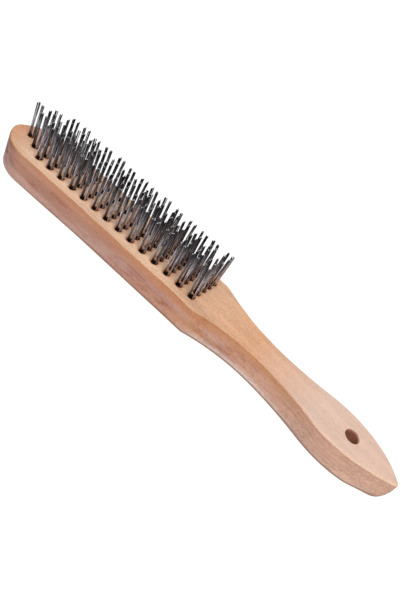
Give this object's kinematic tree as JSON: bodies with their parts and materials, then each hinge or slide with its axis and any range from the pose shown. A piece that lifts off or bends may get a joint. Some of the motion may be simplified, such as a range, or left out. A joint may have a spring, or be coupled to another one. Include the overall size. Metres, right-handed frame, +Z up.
{
  "type": "wire scratch brush",
  "caption": "Hand wire brush for rust and paint: one-piece wooden head and waisted handle with a hanging hole, set with upright tufts of folded steel wire over hidden flat anchors.",
  "frame": {"origin": "under the middle of the brush's box, on the surface it lies on when it rests on its back", "axes": "+X from the tip of the head to the end of the handle, +Y across the head, +Z up, the way the bristles point"},
  "size_m": [0.2892, 0.037, 0.0447],
  "materials": {
    "beech": "sanded, unfinished",
    "steel_wire": "drawn, slightly oiled",
    "anchor_strip": "plain rolled"
  },
  "bodies": {
    "root": {"handle_block": "beech", "tuft_row_01": "steel_wire", "anchor_row_01": "anchor_strip", "tuft_row_02": "steel_wire", "anchor_row_02": "anchor_strip", "tuft_row_03": "steel_wire", "anchor_row_03": "anchor_strip", "tuft_row_04": "steel_wire", "anchor_row_04": "anchor_strip", "tuft_row_05": "steel_wire", "anchor_row_05": "anchor_strip", "tuft_row_06": "steel_wire", "anchor_row_06": "anchor_strip", "tuft_row_07": "steel_wire", "anchor_row_07": "anchor_strip", "tuft_row_08": "steel_wire", "anchor_row_08": "anchor_strip", "tuft_row_09": "steel_wire", "anchor_row_09": "anchor_strip", "tuft_row_10": "steel_wire", "anchor_row_10": "anchor_strip", "tuft_row_11": "steel_wire", "anchor_row_11": "anchor_strip", "tuft_row_12": "steel_wire", "anchor_row_12": "anchor_strip", "tuft_row_13": "steel_wire", "anchor_row_13": "anchor_strip", "tuft_row_14": "steel_wire", "anchor_row_14": "anchor_strip", "tuft_row_15": "steel_wire", "anchor_row_15": "anchor_strip", "tuft_row_16": "steel_wire", "anchor_row_16": "anchor_strip"}
  },
  "joints": []
}
